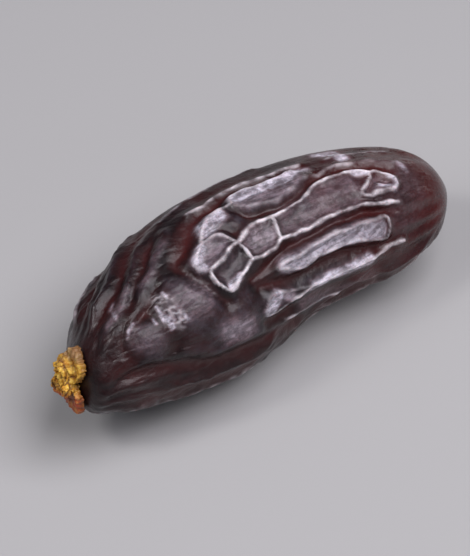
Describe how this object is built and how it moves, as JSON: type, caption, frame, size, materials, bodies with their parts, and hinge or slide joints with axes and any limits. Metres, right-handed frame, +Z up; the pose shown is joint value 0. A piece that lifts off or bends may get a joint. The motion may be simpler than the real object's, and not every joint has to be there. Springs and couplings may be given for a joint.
{
  "type": "rabbi date",
  "caption": "Ripe dark date lying on its side, a long rounded fruit with wrinkled skin and a dry cap at the stem end.",
  "frame": {"origin": "centre of the bounding box's bottom face, on the surface that the date lies on", "axes": "+X along the fruit from the stem end to the tip, +Z up, -Y towards the side that the fruit bends round"},
  "size_m": [0.0472, 0.0184, 0.0184],
  "materials": {
    "fruit": "glossy wrinkled dark maroon skin",
    "stem_cap": "dry crumbly golden brown"
  },
  "bodies": {
    "root": {"fruit": "fruit", "stem_cap": "stem_cap"}
  },
  "joints": []
}
